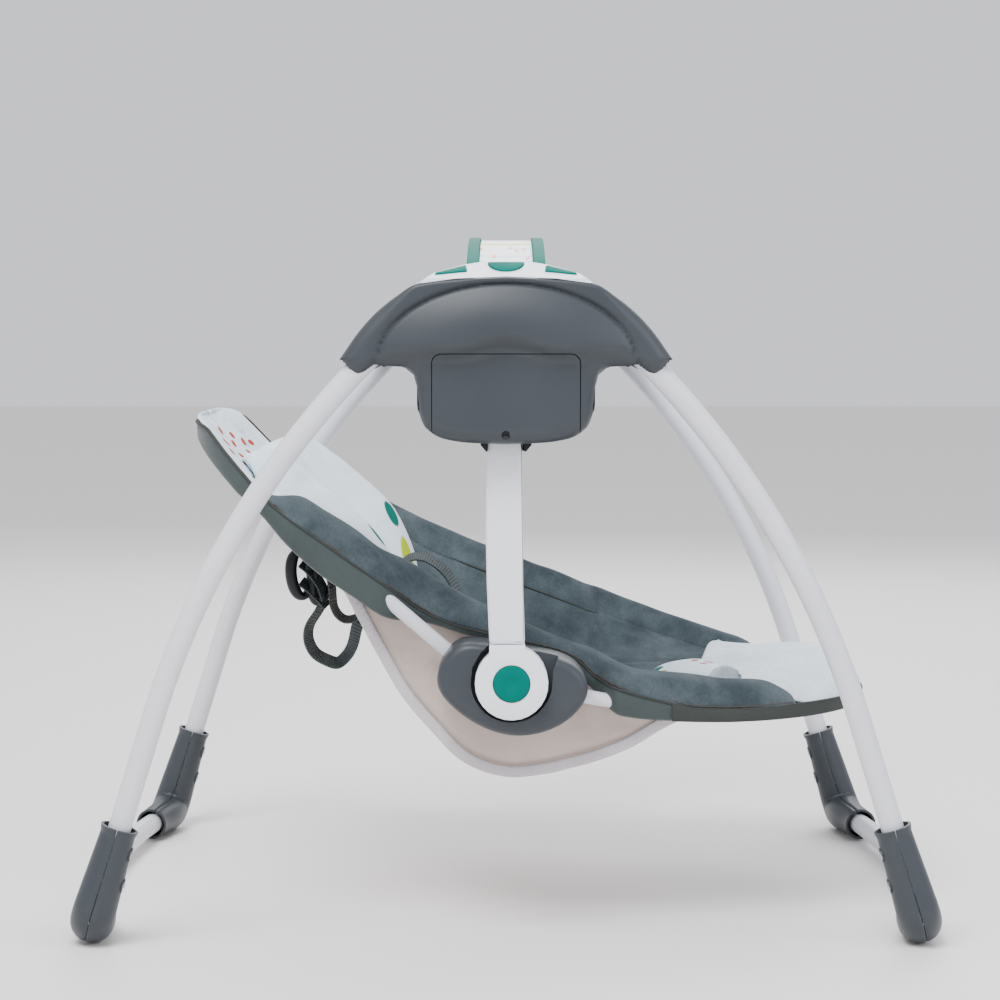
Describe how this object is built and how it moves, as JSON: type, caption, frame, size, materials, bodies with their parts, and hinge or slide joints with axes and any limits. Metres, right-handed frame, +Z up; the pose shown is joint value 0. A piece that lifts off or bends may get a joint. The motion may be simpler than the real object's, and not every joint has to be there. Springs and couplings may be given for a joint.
{
  "type": "baby swing",
  "caption": "Portable baby swing: folding tube legs, two hubs with a battery drive, a fabric hammock seat that swings and reclines, and a low toy bar.",
  "frame": {"origin": "on the floor, under the middle of the swing", "axes": "+X from the head end to the foot end, +Y across to the side without controls, +Z up"},
  "size_m": [0.748, 0.565, 0.5885],
  "materials": {
    "grey_plastic": "fine moulded texture",
    "white_plastic": "smooth moulded",
    "teal_plastic": "smooth moulded",
    "black_plastic": "moulded",
    "painted_tube": "powder coated",
    "zinc_steel": "zinc plated",
    "grey_plush": "short pile plush",
    "white_plush": "short pile plush",
    "light_nylon": "thin woven nylon",
    "grey_webbing": "ribbed webbing"
  },
  "bodies": {
    "root": {"hub_near_outer": "grey_plastic", "hub_near_inner": "grey_plastic", "hub_far_outer": "grey_plastic", "hub_far_inner": "grey_plastic", "hub_far_cap": "white_plastic", "control_panel": "white_plastic", "battery_tray": "black_plastic", "battery_cell_0_0": "zinc_steel", "battery_cell_0_1": "zinc_steel", "battery_cell_1_0": "zinc_steel", "battery_cell_1_1": "zinc_steel", "drive_motor": "zinc_steel", "gearbox": "black_plastic", "pivot_shaft_near": "zinc_steel", "pivot_shaft_far": "zinc_steel"},
    "head_frame": {"head_leg_near": "painted_tube", "head_leg_far": "painted_tube", "head_cross_tube": "painted_tube", "head_shoe_near_outer": "grey_plastic", "head_shoe_near_inner": "grey_plastic", "head_shoe_far_outer": "grey_plastic", "head_shoe_far_inner": "grey_plastic"},
    "foot_frame": {"foot_leg_near": "painted_tube", "foot_leg_far": "painted_tube", "foot_cross_tube": "painted_tube", "foot_shoe_near_outer": "grey_plastic", "foot_shoe_near_inner": "grey_plastic", "foot_shoe_far_outer": "grey_plastic", "foot_shoe_far_inner": "grey_plastic"},
    "swing": {"arm_socket_near": "black_plastic", "arm_socket_far": "black_plastic", "swing_arm_near": "white_plastic", "swing_arm_far": "white_plastic", "arm_boss_near": "white_plastic", "arm_boss_far": "white_plastic"},
    "seat": {"recline_carrier_near": "grey_plastic", "recline_carrier_far": "grey_plastic", "seat_hoop_head": "painted_tube", "seat_hoop_foot": "painted_tube", "sling": "light_nylon", "seat_rim_near": "grey_plush", "seat_rim_far": "grey_plush", "seat_bucket": "grey_plush", "seat_back": "grey_plush", "foot_pad": "white_plush", "body_insert": "white_plush", "webbing_loop": "grey_webbing", "strap_retainer_a": "black_plastic", "strap_retainer_b": "black_plastic"},
    "recline_button_near": {"recline_button_near": "teal_plastic"},
    "recline_button_far": {"recline_button_far": "teal_plastic"},
    "battery_door": {"battery_door": "grey_plastic", "battery_door_screw": "zinc_steel"},
    "power_button": {"power_button": "teal_plastic"},
    "speed_button": {"speed_button": "teal_plastic"},
    "music_button": {"music_button": "teal_plastic"},
    "toy_bar": {"toy_bar_panel": "white_plastic", "toy_bar_rail_head": "teal_plastic", "toy_bar_rail_foot": "teal_plastic"}
  },
  "joints": [
    {"name": "head_frame_fold", "type": "hinge", "parent": "root", "child": "head_frame", "pos_m": [-0.08761, 0, 0.507], "axis": [0, -1, 0], "range_deg": [0, 25]},
    {"name": "foot_frame_fold", "type": "hinge", "parent": "root", "child": "foot_frame", "pos_m": [0.08761, 0, 0.507], "axis": [0, 1, 0], "range_deg": [0, 25]},
    {"name": "seat_swing", "type": "hinge", "parent": "root", "child": "swing", "pos_m": [0, 0, 0.5], "axis": [0, -1, 0], "range_deg": [-10, 10]},
    {"name": "seat_recline", "type": "hinge", "parent": "swing", "child": "seat", "pos_m": [0.0046, 0, 0.2155], "axis": [0, -1, 0], "range_deg": [0, 16]},
    {"name": "recline_press_near", "type": "slide", "parent": "swing", "child": "recline_button_near", "axis": [0, 1, 0], "range_m": [0, 0.0035], "stiffness_N_per_m": 400, "springref_m": -0.001},
    {"name": "recline_press_far", "type": "slide", "parent": "swing", "child": "recline_button_far", "axis": [0, -1, 0], "range_m": [0, 0.0035], "stiffness_N_per_m": 400, "springref_m": -0.001},
    {"name": "power_press", "type": "slide", "parent": "root", "child": "power_button", "axis": [0, 0.342, -0.9397], "range_m": [0, 0.0015], "stiffness_N_per_m": 400, "springref_m": -0.001},
    {"name": "speed_press", "type": "slide", "parent": "root", "child": "speed_button", "axis": [0, 0.342, -0.9397], "range_m": [0, 0.0015], "stiffness_N_per_m": 400, "springref_m": -0.001},
    {"name": "music_press", "type": "slide", "parent": "root", "child": "music_button", "axis": [0, 0.342, -0.9397], "range_m": [0, 0.0015], "stiffness_N_per_m": 400, "springref_m": -0.001},
    {"name": "battery_door_off", "type": "slide", "parent": "root", "child": "battery_door", "axis": [0, -1, 0], "range_m": [0, 0.04]},
    {"name": "toy_bar_off", "type": "slide", "parent": "root", "child": "toy_bar", "axis": [0, 0, 1], "range_m": [0, 0.06]}
  ]
}
